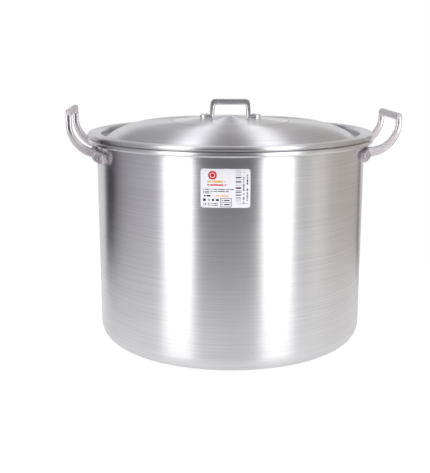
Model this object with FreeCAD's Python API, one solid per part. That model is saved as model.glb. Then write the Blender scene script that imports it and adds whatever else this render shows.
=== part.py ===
"""Large spun-aluminium brew kettle with a lift-off domed lid and riveted cast handles.

Frame: millimetres, +Z up, origin at the centre of the underside, carrying handles along X.
Every piece is a separate solid and goes to its own STEP file in parts/.
"""
import FreeCAD, Part
import math
import os

# ---- kettle body --------------------------------------------------------------
body_radius = 200.0          # outside of the straight wall
rim_height = 306.7           # underside to the flat top of the rim
wall = 3.0                   # sheet thickness of the wall and the rim
base_thickness = 4.0
base_corner = 24.0           # outside radius between base and wall
rim_overhang = 13.2          # how far the rolled rim stands out from the wall
rim_bead = 3.6               # radius of the rolled edge
rim_fold = 3.0               # outside radius of the fold from wall to rim

# ---- lid ----------------------------------------------------------------------
lid_sheet = 2.0
lid_turn = -4.5              # degrees that the loose lid sits round from the handles
seat_gap = 0.3               # daylight kept between the lid's edge and the rim
mouth_clearance = 1.8        # radial, between the lid's step and the mouth
lid_edge_bead = 3.2          # radius of the rolled lid edge
lid_edge_proud = 0.3         # how far the lid's edge stands out past the rim's edge
step_depth = 8.4             # lid flange down to the floor of the groove
groove_width = 6.5           # flat floor between the step and the foot of the dome
foot_rise = 1.0              # dome foot above the groove floor, before its fold is rounded
crease_radius = 88.0         # ring between the shoulder and the centre cone
crease_rise = 23.6           # crease above the groove floor
apex_rise = 8.4              # centre above the crease
shoulder_width = 27.7        # from the dome's foot in to where the crown turns down
shoulder_drop = 4.3          # that turn below the crease
shoulder_bend = 95.0         # bend radius there
crease_bend = 12.0
fold_bend = 3.2              # inside radius of the small folds of the lid

# ---- lid handle ---------------------------------------------------------------
grip_length = 58.0           # outside, across the two legs at the top
grip_splay = 1.7             # how much further out each leg stands at its foot
grip_height = 26.3           # lid face to the top of the bar, at a leg's foot
grip_bar = 8.0               # depth of the bar
grip_leg = 6.2               # thickness of a leg
grip_width = 16.0            # front to back
grip_tab = 15.2              # length of a foot tab beyond its leg
grip_tab_thick = 3.6
grip_corner = 6.5            # outside corner radius
grip_edge = 1.6              # rounding along the bar
grip_end_flat = 0.1          # half the straight part left at each rounded tab end
grip_rivet_shank = 1.8       # radius
grip_rivet_head = 2.8        # radius
grip_rivet_dome = 1.9        # head height
grip_rivet_clinch = 1.3      # height of the head under the lid
grip_rivet_pitch = 6.3       # between the two rivets of a tab
grip_rivet_margin = 4.4      # first rivet beyond the leg's face
lid_drill_length = 30.0      # long enough to pass tab and lid from any tilt

# ---- carrying handles ---------------------------------------------------------
overhang = {"left": 39.5, "right": 47.5}      # wall out to the outer face of the grip
grip_rise = {"left": 42.8, "right": 35.1}     # grip's top above the kettle's rim
frame_half_width = 55.5      # outside of the arms
arm_width = 9.2              # tangential
arm_depth = 8.0              # radial, at the grip
crossbar_height = 9.8
outer_bend = 49.0            # outer curve of an arm
outer_bend_rise = 21.3       # where that curve has become upright, above the rim
inner_bend = 36.4            # inner curve of an arm
arm_foot_rise = 2.0          # low end of the inner curve above the plate's top
frame_corner = 8.0
window_corner = 4.0
plate_drop = 15.7            # rim down to the plate's top
plate_height = 16.0
plate_thick = 5.4
plate_standoff = 2.6         # air between wall and plate, bridged by the rivet pads
plate_end = 8.2              # last rivet to the plate's end
plate_end_flat = 0.6         # half the straight part left at each rounded end

# ---- handle rivets ------------------------------------------------------------
rivet_gap = 11.2             # outside of an arm to the first rivet beside it
rivet_pitch = 17.6           # between the two rivets beside an arm
rivet_shank = 3.0            # radius
rivet_head = 5.6             # radius
rivet_dome = 3.0             # height of the outside head
rivet_clinch = 2.2           # height of the head inside the kettle
pad_radius = 6.4             # cast pads under the plate
rivet_fit = 0.05             # clearance all round, shanks and heads
rivet_band = 0.35            # share of a head's height that is a straight band
clinch_face = 0.72           # flat of a clinched head, as a share of its radius
clinch_band = 0.45           # straight band of a clinched head, as a share of its height

# ---- label --------------------------------------------------------------------
label_width = 65.0           # along the wall
label_height = 51.0
label_drop = 22.7            # rim down to the label's top
label_thick = 0.25
label_corner = 3.5
label_azimuth = -96.2        # degrees round from +X

# ---- worked out ---------------------------------------------------------------
mouth_radius = body_radius - wall
rim_radius = body_radius + rim_overhang
lid_edge_radius = rim_radius + lid_edge_proud
lid_underside = rim_height + seat_gap
flange_top = lid_underside + 2 * lid_edge_bead
groove_floor = flange_top - step_depth
step_radius = mouth_radius - mouth_clearance - lid_sheet
dome_foot = step_radius - groove_width
shoulder_radius = dome_foot - shoulder_width
crease_height = groove_floor + crease_rise
apex_height = crease_height + apex_rise
reach = {side: body_radius + out for side, out in overhang.items()}
grip_top = {side: rim_height + rise for side, rise in grip_rise.items()}
outer_bend_height = rim_height + outer_bend_rise
plate_inner = body_radius + plate_standoff
plate_outer = plate_inner + plate_thick
plate_top = rim_height - plate_drop
plate_bottom = plate_top - plate_height
plate_middle = plate_bottom + plate_height / 2
rivet_stations = (frame_half_width + rivet_gap, frame_half_width + rivet_gap + rivet_pitch)
plate_half_length = rivet_stations[-1] + plate_end
label_top = rim_height - label_drop
cone_slope = apex_rise / crease_radius
arm_inside = frame_half_width - arm_width
arm_bite = plate_thick / 10  # how far the arms run into the plate
arm_root = math.sqrt(plate_inner ** 2 - arm_inside ** 2) + arm_bite

Z_AXIS = FreeCAD.Vector(0, 0, 1)
touching = 1e-6              # points closer than this are the same point
sharpest_bend = 0.2          # least radius of a bend seen from its inside


def vec(x, y, z):
    return FreeCAD.Vector(x, y, z)


def save(shape, name):
    """Write one solid as one node."""
    solids = shape.Solids
    if len(solids) != 1 or not shape.isValid():
        raise ValueError(f"{name}: {len(solids)} solids, valid {shape.isValid()}")
    solids[0].exportStep(f"parts/{name}.step")
    return solids[0]


# ---- outlines: corners joined by lines, each corner rounded by its own radius ----
def corner_points(before, corner, after, radius):
    """Start, middle and end of the arc that rounds a corner."""
    back = (before - corner).normalize()
    ahead = (after - corner).normalize()
    half_angle = back.getAngle(ahead) / 2
    along = radius / math.tan(half_angle)
    inward = (back + ahead).normalize()
    centre = corner + inward * (radius / math.sin(half_angle))
    middle = centre - inward * radius
    return corner + back * along, middle, corner + ahead * along


def outline_face(corners):
    """Face inside a loop of (point, radius) corners; a radius of 0 leaves one sharp."""
    pieces = []
    for index, (corner, radius) in enumerate(corners):
        if radius <= 0:
            pieces.append((corner,))
            continue
        before = corners[index - 1][0]
        after = corners[(index + 1) % len(corners)][0]
        pieces.append(corner_points(before, corner, after, radius))
    edges = []
    for piece, following in zip(pieces, pieces[1:] + pieces[:1]):
        if len(piece) > 1:
            edges.append(Part.Arc(*piece).toShape())
        if piece[-1].distanceToPoint(following[0]) > touching:
            edges.append(Part.LineSegment(piece[-1], following[0]).toShape())
    return Part.Face(Part.Wire(edges))


def spin(face):
    return face.revolve(vec(0, 0, 0), Z_AXIS, 360)


# ---- sheet profiles -------------------------------------------------------------
def offset_corners(corners, distance):
    """The same run of lines moved sideways, with the bend radii that keep it parallel."""
    points = [point for point, _ in corners]
    moved = []
    for index, (point, radius) in enumerate(corners):
        ways = []
        if index > 0:
            ways.append((point - points[index - 1]).normalize())
        if index < len(points) - 1:
            ways.append((points[index + 1] - point).normalize())
        sides = [vec(way.z, 0, -way.x) for way in ways]
        if len(sides) == 1:
            moved.append((point + sides[0] * distance, radius))
            continue
        bisector = (sides[0] + sides[1]).normalize()
        stretch = distance / bisector.dot(sides[0])
        turn = ways[0].cross(ways[1]).y
        grown = radius + distance if turn < 0 else radius - distance
        moved.append((point + bisector * stretch, max(grown, sharpest_bend)))
    return moved


def bead_face(radius_out, bead, height_mid):
    """The round section of a rolled edge."""
    centre = vec(radius_out - bead, 0, height_mid)
    circle = Part.Circle(centre, vec(0, 1, 0), bead)
    return Part.Face(Part.Wire(circle.toShape()))


def make_pot_body():
    """One spun shell: flat base, round corner, straight wall, folded and rolled rim."""
    outer_corners = [
        (vec(0, 0, 0), 0),
        (vec(body_radius, 0, 0), base_corner),
        (vec(body_radius, 0, rim_height - wall), rim_fold),
        (vec(rim_radius - rim_bead, 0, rim_height - wall), 0),
        (vec(rim_radius - rim_bead, 0, rim_height), 0),
        (vec(mouth_radius, 0, rim_height), rim_fold + wall / 2),
        (vec(mouth_radius, 0, base_thickness), base_corner - wall),
        (vec(0, 0, base_thickness), 0),
    ]
    shell = spin(outline_face(outer_corners))
    bead = spin(bead_face(rim_radius, rim_bead, rim_height - rim_bead))
    return shell.fuse(bead).removeSplitter()


def lid_top_corners():
    """Upper face of the lid from the centre out to where its edge is rolled."""
    return [
        (vec(0, 0, apex_height), 0),
        (vec(crease_radius, 0, crease_height), crease_bend),
        (vec(shoulder_radius, 0, crease_height - shoulder_drop), shoulder_bend),
        (vec(dome_foot, 0, groove_floor + foot_rise), fold_bend),
        (vec(dome_foot + foot_rise, 0, groove_floor), fold_bend),
        (vec(step_radius, 0, groove_floor), fold_bend / 2),
        (vec(step_radius, 0, flange_top), fold_bend),
        (vec(lid_edge_radius - lid_edge_bead, 0, flange_top), 0),
    ]


def lid_underside_corners():
    return offset_corners(lid_top_corners(), lid_sheet)


def make_lid_blank():
    """Spun lid before its rivet holes: cone, shoulder, groove, flange and rolled edge."""
    top = lid_top_corners()
    under = lid_underside_corners()
    under[0] = (vec(0, 0, apex_height - lid_sheet / math.cos(math.atan(cone_slope))), 0)
    loop = top + under[::-1]
    sheet = spin(outline_face(loop))
    bead = spin(bead_face(lid_edge_radius, lid_edge_bead, flange_top - lid_edge_bead))
    return sheet.fuse(bead).removeSplitter()


def lid_core():
    """Everything under the upper face of the lid's cone, used to seat the handle on it."""
    low = crease_height - grip_height
    corners = [
        (vec(0, 0, low), 0),
        (vec(crease_radius, 0, low), 0),
        (vec(crease_radius, 0, crease_height), 0),
        (vec(0, 0, apex_height), 0),
    ]
    return spin(outline_face(corners))


# ---- rivets -----------------------------------------------------------------------
def rivet(shank_radius, head_radius, dome, grip, clinch):
    """Rivet along +Z: clinched head below 0, shank through the grip, domed head above it."""
    band = rivet_band * dome
    crown = dome - band
    ball = (head_radius ** 2 + crown ** 2) / (2 * crown)
    apex = vec(0, 0, grip + dome)
    half_sweep = math.asin(head_radius / ball) / 2
    crown_middle = apex + vec(ball * math.sin(half_sweep), 0, ball * (math.cos(half_sweep) - 1))
    points = [
        vec(0, 0, -clinch),
        vec(head_radius * clinch_face, 0, -clinch),
        vec(head_radius, 0, -clinch * clinch_band),
        vec(head_radius, 0, 0),
        vec(shank_radius, 0, 0),
        vec(shank_radius, 0, grip),
        vec(head_radius, 0, grip),
        vec(head_radius, 0, grip + band),
    ]
    edges = [Part.LineSegment(a, b).toShape() for a, b in zip(points, points[1:])]
    edges.append(Part.Arc(points[-1], crown_middle, apex).toShape())
    edges.append(Part.LineSegment(apex, points[0]).toShape())
    return spin(Part.Face(Part.Wire(edges)))


def lid_rivet_stations():
    """Distance from the lid's centre of each rivet, along the handle."""
    leg_face = grip_length / 2 + grip_splay
    first = leg_face + grip_rivet_margin
    return (first, first + grip_rivet_pitch)


def cone_height(radius):
    return apex_height - cone_slope * radius


def lid_rivet_place(side, station):
    """Placement of a lid rivet: square to the cone, its origin on the lid's underside."""
    tilt = math.degrees(math.atan(cone_slope))
    turn = FreeCAD.Rotation(vec(0, 1, 0), side * tilt)
    face = vec(side * station, 0, cone_height(station))
    normal = turn.multVec(Z_AXIS)
    origin = face - normal * (lid_sheet + rivet_fit)
    about_axis = FreeCAD.Placement(vec(0, 0, 0), FreeCAD.Rotation(Z_AXIS, lid_turn))
    return about_axis.multiply(FreeCAD.Placement(origin, turn))


def make_lid_rivet(side, station):
    grip = lid_sheet + grip_tab_thick + 2 * rivet_fit
    body = rivet(grip_rivet_shank, grip_rivet_head, grip_rivet_dome, grip, grip_rivet_clinch)
    body.Placement = lid_rivet_place(side, station)
    return body


def lid_rivet_hole(side, station):
    """Drill through tab and lid for one rivet."""
    start = vec(0, 0, -lid_drill_length / 2)
    drill = Part.makeCylinder(grip_rivet_shank + rivet_fit, lid_drill_length, start)
    drill.Placement = lid_rivet_place(side, station)
    return drill


# ---- lid handle -------------------------------------------------------------------
def lid_handle_side():
    """Side outline of the handle: tabs, splayed legs and bar, run past the lid's face."""
    foot = grip_length / 2 + grip_splay
    shoulder = grip_length / 2
    tab_end = foot + grip_tab
    bar_top = cone_height(foot) + grip_height
    bar_under = bar_top - grip_bar
    sunk = grip_tab_thick
    inner_corner = grip_corner - grip_leg / 2
    half = [
        (tab_end, cone_height(tab_end) - sunk, 0),
        (tab_end, cone_height(tab_end) + grip_tab_thick, 0),
        (foot, cone_height(foot) + grip_tab_thick, grip_tab_thick / 2),
        (shoulder, bar_top, grip_corner),
    ]
    inner = [
        (shoulder - grip_leg, bar_under, inner_corner),
        (foot - grip_leg, cone_height(foot) - sunk, 0),
    ]
    right = [(vec(x, 0, z), r) for x, z, r in half]
    left = [(vec(-x, 0, z), r) for x, z, r in reversed(half)]
    left_inner = [(vec(-x, 0, z), r) for x, z, r in reversed(inner)]
    right_inner = [(vec(x, 0, z), r) for x, z, r in inner]
    return outline_face(right + left + left_inner + right_inner)


def end_edges(shape, distance):
    """Edges in the two faces of a prism that lie square to Y at this distance each way."""
    picked = []
    for edge in shape.Edges:
        low, high = edge.BoundBox.YMin, edge.BoundBox.YMax
        if high - low < touching and abs(abs(low) - distance) < touching:
            picked.append(edge)
    return picked


def make_lid_handle():
    """Cast bar with two splayed legs and round-ended tabs that sit on the cone."""
    half = grip_width / 2
    side = lid_handle_side()
    side.translate(vec(0, -half, 0))
    run = side.extrude(vec(0, grip_width, 0))
    run = run.makeFillet(grip_edge, end_edges(run, half))
    tab_end = grip_length / 2 + grip_splay + grip_tab
    end_corner = half - grip_end_flat
    low = crease_height - grip_height
    high = apex_height + 2 * grip_height
    plan_corners = [
        (vec(tab_end, half, low), end_corner),
        (vec(-tab_end, half, low), end_corner),
        (vec(-tab_end, -half, low), end_corner),
        (vec(tab_end, -half, low), end_corner),
    ]
    plan = outline_face(plan_corners).extrude(vec(0, 0, high - low))
    handle = run.common(plan).cut(lid_core())
    handle.rotate(vec(0, 0, 0), Z_AXIS, lid_turn)
    return handle


# ---- carrying handles ----------------------------------------------------------------
def bend_to_root(centre_x, centre_z, radius):
    """Edges of one side of an arm, from where it is upright down and in to its root."""
    lowest = math.radians(-90)
    if centre_x < arm_root:
        lowest = -math.acos((arm_root - centre_x) / radius)
    arc_points = []
    for angle in (0, lowest / 2, lowest):
        across = centre_x + radius * math.cos(angle)
        arc_points.append(vec(across, 0, centre_z + radius * math.sin(angle)))
    edges = [Part.Arc(*arc_points).toShape()]
    root = arc_points[-1]
    if centre_x > arm_root:
        root = vec(arm_root, 0, centre_z - radius)
        edges.append(Part.LineSegment(arc_points[-1], root).toShape())
    return edges, arc_points[0], root


def arm_side(side):
    """Radial outline of an arm: curved, thin at the grip and deeper towards its foot."""
    out = reach[side]
    top = grip_top[side]
    outer, outer_spring, outer_root = bend_to_root(
        out - outer_bend, outer_bend_height, outer_bend)
    inner, inner_spring, inner_root = bend_to_root(
        out - arm_depth - inner_bend, plate_top + arm_foot_rise + inner_bend, inner_bend)
    corners = [outer_spring, vec(out, 0, top), vec(out - arm_depth, 0, top), inner_spring]
    straight = [Part.LineSegment(a, b).toShape() for a, b in zip(corners, corners[1:])]
    root = Part.LineSegment(outer_root, inner_root).toShape()
    ordered = Part.sortEdges(outer + straight + inner + [root])[0]
    return Part.Face(Part.Wire(ordered))


def frame_front(side):
    """Inverted U seen from outside the kettle: two arms under a crossbar."""
    top = grip_top[side]
    low = plate_bottom
    inner = arm_inside
    lintel = top - crossbar_height
    near = arm_root - plate_thick
    corners = [
        (vec(near, -frame_half_width, low), 0),
        (vec(near, -frame_half_width, top), frame_corner),
        (vec(near, frame_half_width, top), frame_corner),
        (vec(near, frame_half_width, low), 0),
        (vec(near, inner, low), 0),
        (vec(near, inner, lintel), window_corner),
        (vec(near, -inner, lintel), window_corner),
        (vec(near, -inner, low), 0),
    ]
    return outline_face(corners)


def make_frame(side):
    """Arms and crossbar of one handle."""
    across = arm_side(side)
    across.translate(vec(0, -frame_half_width, 0))
    profile = across.extrude(vec(0, 2 * frame_half_width, 0))
    opening = frame_front(side).extrude(vec(reach[side], 0, 0))
    return profile.common(opening)


def wrapped_sheet(inner, outer, half_length, low, high, corner):
    """Sheet wrapped round the kettle's axis and centred on +X, with rounded corners."""
    ring = Part.makeCylinder(outer, high - low, vec(0, 0, low))
    ring = ring.cut(Part.makeCylinder(inner, high - low, vec(0, 0, low)))
    corners = [
        (vec(0, -half_length, low), corner),
        (vec(0, half_length, low), corner),
        (vec(0, half_length, high), corner),
        (vec(0, -half_length, high), corner),
    ]
    return ring.common(outline_face(corners).extrude(vec(2 * outer, 0, 0)))


def rivet_angles():
    """Degrees round from the handle's middle of its four rivets, in order."""
    right_half = [math.degrees(math.asin(station / plate_outer)) for station in rivet_stations]
    return [-angle for angle in reversed(right_half)] + right_half


def radial_place(angle, radius, height):
    """Placement whose +Z points out from the kettle's axis."""
    turn = FreeCAD.Rotation(Z_AXIS, angle).multiply(FreeCAD.Rotation(vec(0, 1, 0), 90))
    out = FreeCAD.Rotation(Z_AXIS, angle).multVec(vec(radius, 0, height))
    return FreeCAD.Placement(out, turn)


def make_plate():
    """Curved riveting plate with rounded ends, and the pads that stand it off the wall."""
    plate = wrapped_sheet(plate_inner, plate_outer, plate_half_length,
                          plate_bottom, plate_top, plate_height / 2 - plate_end_flat)
    kettle = Part.makeCylinder(body_radius, rim_height)
    for angle in rivet_angles():
        pad = Part.makeCylinder(pad_radius, plate_standoff + plate_thick / 2 + wall)
        pad.Placement = radial_place(angle, body_radius - wall, plate_middle)
        plate = plate.fuse(pad)
    return plate.cut(kettle).removeSplitter()


def handle_rivet_hole(angle):
    deep = 4 * (wall + plate_standoff + plate_thick)
    drill = Part.makeCylinder(rivet_shank + rivet_fit, deep)
    drill.Placement = radial_place(angle, body_radius - deep / 2, plate_middle)
    return drill


def make_side_handle(side):
    """One casting: riveting plate, two curved arms and a crossbar."""
    casting = make_plate().fuse(make_frame(side)).removeSplitter()
    for angle in rivet_angles():
        casting = casting.cut(handle_rivet_hole(angle))
    return casting


def make_handle_rivet(angle):
    """Rivet through plate, pad and wall; its clinched head stands inside the kettle."""
    seat = math.sqrt(mouth_radius ** 2 - rivet_head ** 2) - rivet_fit
    grip = plate_outer + rivet_fit - seat
    body = rivet(rivet_shank, rivet_head, rivet_dome, grip, rivet_clinch)
    body.Placement = radial_place(angle, seat, plate_middle)
    return body


def turned(shape, angle):
    """Copy turned this many degrees about the kettle's axis."""
    copy = shape.copy()
    copy.rotate(vec(0, 0, 0), Z_AXIS, angle)
    return copy


# ---- label ----------------------------------------------------------------------------
def make_label():
    """Thin paper label wrapped on the wall."""
    half = body_radius * math.sin(label_width / 2 / body_radius)
    paper = wrapped_sheet(body_radius, body_radius + label_thick, half,
                          label_top - label_height, label_top, label_corner)
    return turned(paper, label_azimuth)


def build():
    os.makedirs("parts", exist_ok=True)
    pot = make_pot_body()
    lid = make_lid_blank()
    lid_handle = make_lid_handle()
    for side, sign, round_to in (("left", -1, 180), ("right", 1, 0)):
        for number, station in enumerate(lid_rivet_stations(), 1):
            hole = lid_rivet_hole(sign, station)
            lid = lid.cut(hole)
            lid_handle = lid_handle.cut(hole)
            save(make_lid_rivet(sign, station), f"lid_rivet_{side}_{number}")
        save(turned(make_side_handle(side), round_to), f"handle_{side}")
        for number, angle in enumerate(rivet_angles(), 1):
            pot = pot.cut(turned(handle_rivet_hole(angle), round_to))
            save(turned(make_handle_rivet(angle), round_to), f"handle_rivet_{side}_{number}")
    save(pot, "pot_body")
    save(lid, "lid_shell")
    save(lid_handle, "lid_handle")
    save(make_label(), "label")


build()
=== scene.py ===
"""Brew kettle in spun aluminium: body, lift-off lid, cast handles, rivets and a paper label.

Laid out as an add-on: sizes and finishes are settings, and each piece is made by its own operator.
"""
import math

import bmesh
import bpy
from bpy.props import FloatProperty, FloatVectorProperty, IntProperty, PointerProperty
from mathutils import Matrix, Vector


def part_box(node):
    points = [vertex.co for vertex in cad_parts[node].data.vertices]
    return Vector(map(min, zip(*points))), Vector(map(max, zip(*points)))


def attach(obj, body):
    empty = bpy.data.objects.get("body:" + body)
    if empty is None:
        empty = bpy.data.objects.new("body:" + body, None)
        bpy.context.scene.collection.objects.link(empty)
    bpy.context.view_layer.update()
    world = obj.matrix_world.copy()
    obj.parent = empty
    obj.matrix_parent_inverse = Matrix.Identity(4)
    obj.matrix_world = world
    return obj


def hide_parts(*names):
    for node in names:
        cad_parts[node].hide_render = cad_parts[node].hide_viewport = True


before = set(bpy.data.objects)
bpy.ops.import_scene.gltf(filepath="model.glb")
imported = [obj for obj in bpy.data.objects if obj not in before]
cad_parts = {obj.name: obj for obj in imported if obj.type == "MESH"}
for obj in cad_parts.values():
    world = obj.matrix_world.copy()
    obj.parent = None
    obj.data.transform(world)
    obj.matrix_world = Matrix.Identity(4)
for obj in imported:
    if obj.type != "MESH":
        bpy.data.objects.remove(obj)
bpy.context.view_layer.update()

bl_info = {
    "name": "Brew kettle",
    "version": (1, 0, 0),
    "blender": (4, 5, 0),
    "location": "3D View > Sidebar > Kettle",
    "description": "Makes a large spun-aluminium kettle with its lid, handles, rivets and label",
    "category": "Object",
}

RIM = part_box("pot_body")[1]
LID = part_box("lid_shell")[1]
GRIP_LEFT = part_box("handle_left")
GRIP_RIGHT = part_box("handle_right")
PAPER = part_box("label")
TINY = 1e-6                           # points closer than this are the same point
HAIR = 0.0001                         # margin too small to see
SHARPEST_BEND = 0.0002                # least radius of a bend seen from its inside
BEAD_SHARE = 0.999                    # a bead's bends stop just short of meeting
RIVET_FIT = 0.00005                   # daylight at each end of a rivet's grip
RIVET_BAND = 0.35                     # share of a head's height that is a straight band
CLINCH_BEND = 0.6                     # bend of a clinched head, as a share of its height
HEAD_STEPS = 6                        # facets from a head's band to its top
RIVET_FACETS = 40                     # facets round a rivet
PAD_FACETS = 32                       # facets round a pad
FLOOR_FACETS = 128                    # facets round the floor
ARC_STEP = 5                          # degrees between sections round an arm's curves
CORNER_STEP = 10                      # degrees between sections round the grip's corners
CORNER_LEAD = 0.002                   # straight stretch kept below the grip's corners
SIDES = (("left", -1, math.pi), ("right", 1, 0.0))


def length(name, default, description):
    return FloatProperty(name=name, default=default, min=0.0, unit="LENGTH", precision=5,
                         description=description)


def share(name, default, description):
    return FloatProperty(name=name, default=default, min=0.0, max=1.0, subtype="FACTOR",
                         description=description)


def colour(name, default, description):
    return FloatVectorProperty(name=name, default=default, size=3, min=0.0, max=1.0,
                               subtype="COLOR", description=description)


# ---- settings ---------------------------------------------------------------------
class KettleBodySettings(bpy.types.PropertyGroup):
    """Sizes of the spun body."""
    rim_radius: length("Rim radius", RIM.x, "Axis to the outside of the rolled rim")
    rim_height: length("Rim height", RIM.z, "Table to the top of the rim")
    overhang: length("Overhang", 0.0132, "How far the rim stands out from the wall")
    sheet: length("Sheet", 0.003, "Thickness of wall and rim")
    base_sheet: length("Base", 0.004, "Thickness of the base")
    base_bend: length("Base corner", 0.024, "Outside radius between base and wall")
    rim_bead: length("Rim bead", 0.0036, "Radius of the rolled edge")
    rim_fold: length("Rim fold", 0.003, "Radius of the fold under the rim")
    steps: IntProperty(name="Steps round", default=240, min=24, max=720,
                       description="Facets round the body and the lid")


class LidSettings(bpy.types.PropertyGroup):
    """Sizes of the spun lid."""
    sheet: length("Sheet", 0.002, "Thickness of the lid")
    edge_radius: length("Edge radius", LID.y, "Axis to the outside of the rolled edge")
    edge_bead: length("Edge bead", 0.0032, "Radius of the rolled edge")
    seat_gap: length("Seat gap", 0.0003, "Daylight between the edge and the rim")
    clearance: length("Mouth clearance", 0.0018, "Between the lid's step and the mouth")
    step_depth: length("Step", 0.0084, "Flange down to the floor of the groove")
    groove: length("Groove", 0.0065, "Width of the groove's floor")
    foot_rise: length("Foot rise", 0.001, "Foot of the dome above the groove's floor")
    crease_radius: length("Crease radius", 0.088, "Ring round the centre cone")
    crease_rise: length("Crease rise", 0.0236, "Crease above the groove's floor")
    apex_rise: length("Apex rise", 0.0084, "Middle of the lid above the crease")
    shoulder_width: length("Shoulder width", 0.0277, "Dome's foot in to the shoulder")
    shoulder_drop: length("Shoulder drop", 0.0043, "Shoulder below the crease")
    shoulder_bend: length("Shoulder bend", 0.095, "Bend radius of the shoulder")
    crease_bend: length("Crease bend", 0.012, "Bend radius of the crease")
    fold_bend: length("Fold bend", 0.0032, "Bend radius of the small folds")


class LidHandleSettings(bpy.types.PropertyGroup):
    """Sizes of the bar handle on the lid and of its rivets."""
    turn: FloatProperty(name="Turn", default=math.radians(-4.5), subtype="ANGLE",
                        description="How far the loose lid sits round from the handles")
    length: length("Length", 0.058, "Outside, across the legs at the top")
    splay: length("Splay", 0.0017, "How much further out each leg's foot stands")
    height: length("Height", 0.0263, "Lid to the top of the bar")
    bar: length("Bar", 0.008, "Depth of the bar")
    leg: length("Leg", 0.0062, "Thickness of a leg")
    width: length("Width", 0.016, "Front to back")
    tab: length("Tab", 0.0152, "Length of a foot tab beyond its leg")
    tab_sheet: length("Tab thickness", 0.0036, "Thickness of a foot tab")
    corner: length("Corner", 0.0065, "Outside radius of the bar's ends")
    crown: length("Crown", 0.0032, "Rounding of the outer edges of bar and legs")
    belly: length("Belly", 0.0027, "Rounding of the inner edges of bar and legs")
    arris: length("Arris", 0.0007, "Rounding of the other edges")
    rivet_margin: length("Rivet margin", 0.0044, "Leg's face to the first rivet")
    rivet_pitch: length("Rivet pitch", 0.0063, "Between the two rivets of a tab")
    rivet_shank: length("Rivet shank", 0.0018, "Radius")
    rivet_head: length("Rivet head", 0.0028, "Radius")
    rivet_dome: length("Rivet dome", 0.0019, "Height of the head")
    rivet_clinch: length("Rivet clinch", 0.0013, "Height of the head under the lid")


class CarryingHandleSettings(bpy.types.PropertyGroup):
    """Sizes of the two cast carrying handles and of their rivets."""
    reach_left: length("Reach left", -GRIP_LEFT[0].x, "Axis to the left grip's outer face")
    reach_right: length("Reach right", GRIP_RIGHT[1].x, "Axis to the right grip's outer face")
    top_left: length("Top left", GRIP_LEFT[1].z, "Table to the top of the left grip")
    top_right: length("Top right", GRIP_RIGHT[1].z, "Table to the top of the right grip")
    half_width: length("Half width", 0.0555, "Middle to the outside of an arm")
    arm_width: length("Arm width", 0.0092, "Along the wall")
    arm_depth: length("Arm depth", 0.008, "Away from the wall, at the grip")
    crossbar: length("Crossbar", 0.0098, "Height of the crossbar")
    outer_bend: length("Outer bend", 0.049, "Outer curve of an arm")
    outer_rise: length("Outer rise", 0.0213, "End of that curve above the rim")
    inner_bend: length("Inner bend", 0.0364, "Inner curve of an arm")
    foot_rise: length("Foot rise", 0.002, "Low end of that curve above the plate")
    corner: length("Corner", 0.008, "Outside corner of the grip")
    window: length("Window corner", 0.004, "Inside corner of the grip")
    softness: length("Softness", 0.0026, "Rounding of the arms' edges")
    polish_from: length("Polish from", 0.016, "Top of the plate to the start of the polish")
    polish_to: length("Polish to", 0.034, "Top of the plate to where the polish is full")
    plate_drop: length("Plate drop", 0.0157, "Rim down to the top of the plate")
    plate_height: length("Plate height", 0.016, "Height of the riveting plate")
    plate_sheet: length("Plate thickness", 0.0054, "Thickness of the riveting plate")
    standoff: length("Standoff", 0.0026, "Air between wall and plate")
    half_length: length("Plate half length", 0.0925, "Middle to the end of the plate")
    end_flat: length("End flat", 0.0006, "Half the flat left at a plate's rounded end")
    plate_edge: length("Plate edge", 0.0013, "Rounding of the plate's edges")
    pad: length("Pad", 0.0064, "Radius of the pads behind the rivets")
    station_near: length("Inner rivet", 0.0667, "Middle of the handle to the inner rivets")
    station_far: length("Outer rivet", 0.0843, "Middle of the handle to the outer rivets")
    rivet_shank: length("Rivet shank", 0.003, "Radius")
    rivet_head: length("Rivet head", 0.0056, "Radius")
    rivet_dome: length("Rivet dome", 0.003, "Height of the outside head")
    rivet_clinch: length("Rivet clinch", 0.0022, "Height of the inside head")


class LabelSettings(bpy.types.PropertyGroup):
    """Sizes and inks of the paper label."""
    width: length("Width", 0.065, "Along the wall")
    thickness: length("Thickness", 0.00025, "Paper and glue")
    corner: length("Corner", 0.0035, "Radius of the corners")
    azimuth: FloatProperty(name="Azimuth", default=math.radians(-96.2), subtype="ANGLE",
                           description="Where the middle of the label is, round from +X")
    paper: colour("Paper", (0.86, 0.86, 0.90), "Coated white paper")
    black: colour("Black ink", (0.012, 0.012, 0.018), "Bars and solid marks")
    grey: colour("Grey ink", (0.24, 0.24, 0.27), "Fine lines")
    red: colour("Red ink", (0.68, 0.008, 0.012), "Badge and rule")
    orange: colour("Orange ink", (0.88, 0.47, 0.16), "Bands")


class FinishSettings(bpy.types.PropertyGroup):
    """Colours and roughness of the metals."""
    wall: colour("Wall", (0.86, 0.855, 0.87), "Spun aluminium of the body")
    wall_rough: share("Wall roughness", 0.34, "Across the spinning lines")
    lid: colour("Lid", (0.86, 0.855, 0.875), "Spun aluminium of the lid")
    lid_rough: share("Lid roughness", 0.38, "Across the spinning lines")
    wall_grain: share("Wall grain", 0.30, "How strongly the spinning lines show")
    lid_grain: share("Lid grain", 0.20, "How strongly the spinning lines show")
    stretch: share("Stretch", 0.93, "How far the lines draw a highlight out")
    cast: colour("Casting", (0.74, 0.70, 0.72), "Cast aluminium of the carrying handles")
    bar: colour("Bar", (0.93, 0.925, 0.93), "Polished bar of the lid handle")
    bar_rough: share("Bar roughness", 0.30, "Along its hairlines")
    rivet: colour("Rivet", (0.70, 0.70, 0.71), "Drawn aluminium of the rivets")
    rivet_rough: share("Rivet roughness", 0.24, "Rivets of the carrying handles")
    small_rivet_rough: share("Small rivet roughness", 0.28, "Rivets of the lid handle")


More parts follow.
